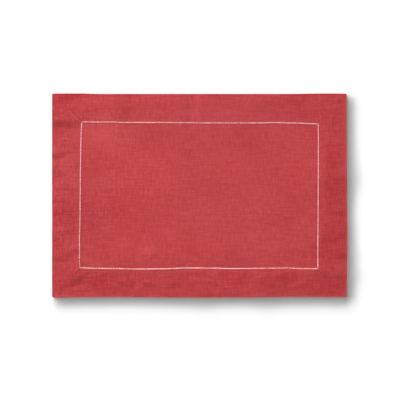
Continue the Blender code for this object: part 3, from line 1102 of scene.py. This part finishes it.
def makeYarn(name, look):
    material, tree, shader = newMaterial(name)
    calc = partial(calcIn, tree)
    mottle = placeGroup(tree, mottleGroup, Broad=0.01, Fine=0.0012)
    fibres = placeGroup(tree, fibreGroup, Fibre=0.00008, Strand=0.0006, Warp_Over=0.5)
    # the bundles' painted light and shade and uneven tone, carried in the points
    deepness = calc("MULTIPLY_ADD", attributeOf(tree, "wear"), threadLook["wear"], threadLook["mottleShift"])
    shade = calc("MULTIPLY_ADD", mottle["Tone"], threadLook["mottle"], deepness, clamp=True)
    rough = calc("MULTIPLY_ADD", fibres["Height"], threadLook["fibreRoughness"],
                 threadLook["roughness"], clamp=True)
    feed(tree, shader, Base_Color=mixColor(tree, shade, look["color"], look["shade"]), Roughness=rough,
         Normal=bumpNormal(tree, fibres["Height"], look["bump"]), Sheen_Weight=threadLook["sheen"],
         Specular_IOR_Level=threadLook["specular"])
    return material


def dress(piece, material):
    piece.data.materials.clear()
    piece.data.materials.append(material)


dress(placematCloth, makeLinen())
dress(hemstitchLadder, makeYarn("ladderYarn", threadLook["ladder"]))
dress(hemstitchThread, makeYarn("sewingThread", threadLook["stitch"]))

print("placemat: fixing the pieces to the frame")
pieces = (placematCloth, hemstitchLadder, hemstitchThread)
for piece in pieces:
    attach(piece, "root")
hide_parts("placemat_cloth")

# the camera looks straight down; the photo's frame is 400 by 400 pixels
camera = {
    "millimetresAPixel": 1.7194,
    "pixels": 400,
    "middle": (0.0004, -0.0076),  # where the frame's middle falls on the mat
    "lens": 100.0,
    "sensor": 36.0,
}

# level: share of full white that the light gives on level ground; azimuth, elevation, softness in degrees
lights = {
    "key": {"level": 0.60, "azimuth": 132, "elevation": 9.5, "distance": 9.5, "size": 2.3},
    "softbox": {"level": 0.33, "azimuth": 150, "elevation": 46, "distance": 6.0, "size": 2.1},
    "fill": {"level": 0.07, "azimuth": -45, "elevation": 10, "softness": 14},
    "edgeGlow": {"level": 0.15, "azimuth": -45, "elevation": -12, "softness": 10},
    "through": {"level": 0.72, "azimuth": 0, "elevation": 90, "softness": 30},
    # long low panels standing round the table, each ring cut into flat ones; together they throw the soft
    # shadow that lies beside the mat's front and right
    "rings": (
        {"level": 0.09, "azimuth": 124, "elevation": 3.2, "high": 0.7, "wide": 56, "panels": 2},
        {"level": 0.16, "azimuth": 129, "elevation": 4.2, "high": 0.9, "wide": 80, "panels": 3},
        {"level": 0.38, "azimuth": 134, "elevation": 5.5, "high": 1.2, "wide": 104, "panels": 4},
        {"level": 0.24, "azimuth": 135, "elevation": 7.6, "high": 2.3, "wide": 104, "panels": 4},
    ),
    "ringDistance": 40.0,
    "sunDistance": 3.0,
    "shadows": (
        {"level": 0.02, "azimuth": 130, "elevation": 14, "softness": 10},
        {"level": 0.09, "azimuth": 0, "elevation": 90, "softness": 30},
    ),
    "sky": 0.12,
}


def lightDirection(look):
    azimuth, height = math.radians(look["azimuth"]), math.radians(look["elevation"])
    level = math.cos(height)
    return Vector((math.cos(azimuth) * level, math.sin(azimuth) * level, math.sin(height)))


def addLight(name, kind, direction, distance, receivers):
    lamp = bpy.data.lights.new(name, kind)
    holder = bpy.data.objects.new(name, lamp)
    holder.location = direction * distance
    holder.rotation_euler = direction.to_track_quat("Z", "Y").to_euler()
    bpy.context.scene.collection.objects.link(holder)
    holder.light_linking.receiver_collection = receivers
    return lamp


def addSun(name, look, receivers):
    lamp = addLight(name, "SUN", lightDirection(look), lights["sunDistance"], receivers)
    lamp.energy = look["level"] * math.pi / abs(math.sin(math.radians(look["elevation"])))
    lamp.angle = math.radians(look["softness"])


def addSoftbox(name, look, receivers):
    direction = lightDirection(look)
    lamp = addLight(name, "AREA", direction, look["distance"], receivers)
    lamp.shape = "DISK"
    lamp.size = look["size"]
    lamp.energy = look["level"] * math.pi**2 * look["distance"] ** 2 / direction.z


def addRing(name, look, receivers):
    share = look["wide"] / look["panels"]
    for n in range(look["panels"]):
        azimuth = look["azimuth"] + (n + 0.5 - look["panels"] / 2) * share
        direction = lightDirection({"azimuth": azimuth, "elevation": look["elevation"]})
        lamp = addLight(name + "Panel" + str(n), "AREA", direction, lights["ringDistance"], receivers)
        lamp.shape = "RECTANGLE"
        lamp.size = 2 * lights["ringDistance"] * math.tan(math.radians(share / 2))
        lamp.size_y = lights["ringDistance"] * math.tan(math.radians(look["high"]))
        level = look["level"] / look["panels"]
        lamp.energy = level * math.pi**2 * lights["ringDistance"] ** 2 / direction.z


def lightGroup(name, *members):
    # the pieces that a light falls on
    group = bpy.data.collections.new(name)
    for member in members:
        group.objects.link(member)
    return group


def makeFloor(name, wide, deep, height):
    corners = [(-wide, -deep, height), (wide, -deep, height), (wide, deep, height), (-wide, deep, height)]
    piece = addPiece(name, corners, [(0, 1, 2, 3)])
    material, tree, shader = newMaterial(name + "White")
    feed(tree, shader, Base_Color=(0.96, 0.96, 0.96, 1), Roughness=1.0, Specular_IOR_Level=0.0)
    dress(piece, material)
    return piece


print("placemat: floor, lights and camera")
# half the width, half the depth and the height, in metres; the second one shows through the drawn band
floor = makeFloor("floor", 4.0, 4.0, 0)
underFloor = makeFloor("floorUnderMat", 0.215, 0.137, 0.00001)
floorOnly = lightGroup("floorOnly", floor, underFloor)
underOnly = lightGroup("underOnly", underFloor)
clothOnly = lightGroup("clothOnly", *pieces)
addSoftbox("keyLight", lights["key"], clothOnly)
addSoftbox("softboxLight", lights["softbox"], clothOnly)
# what the white floor throws back on the hem's far sides; the floor doesn't stop it
for name in ("fill", "edgeGlow"):
    addSun(name + "Light", lights[name], clothOnly)
    bpy.data.objects[name + "Light"].light_linking.blocker_collection = clothOnly
# the floor under the mat, seen white through the drawn band
addSun("throughLight", lights["through"], underOnly)
for number, look in enumerate(lights["rings"]):
    addRing("ringLight" + str(number), look, floorOnly)
for number, look in enumerate(lights["shadows"]):
    addSun("shadowLight" + str(number), look, floorOnly)

# the camera sees plain white, and the mat gets a faint even light
world = bpy.data.worlds.new("studio")
bpy.context.scene.world = world
world.use_nodes = True
tree = world.node_tree
sky, seen = tree.nodes["Background"], tree.nodes.new("ShaderNodeBackground")
feed(tree, sky, Color=(1, 1, 1, 1), Strength=lights["sky"])
feed(tree, seen, Color=(1, 1, 1, 1), Strength=1.0)
rays = tree.nodes.new("ShaderNodeLightPath")
chosen = tree.nodes.new("ShaderNodeMixShader")
for socket, value in zip(chosen.inputs, (rays.outputs["Is Camera Ray"], sky.outputs[0], seen.outputs[0])):
    tree.links.new(value, socket)
tree.links.new(chosen.outputs[0], tree.nodes["World Output"].inputs[0])
bpy.context.scene.view_settings.view_transform = "Standard"

lens = bpy.data.cameras.new("camera")
lens.lens = camera["lens"]
lens.sensor_width = camera["sensor"]
viewer = bpy.data.objects.new("camera", lens)
fieldWidth = camera["millimetresAPixel"] * camera["pixels"] * mm
viewer.location = (*camera["middle"], fieldWidth * camera["lens"] / camera["sensor"] + cloth["hemTop"] * mm)
bpy.context.scene.collection.objects.link(viewer)
bpy.context.scene.camera = viewer

print("placemat: finishing")
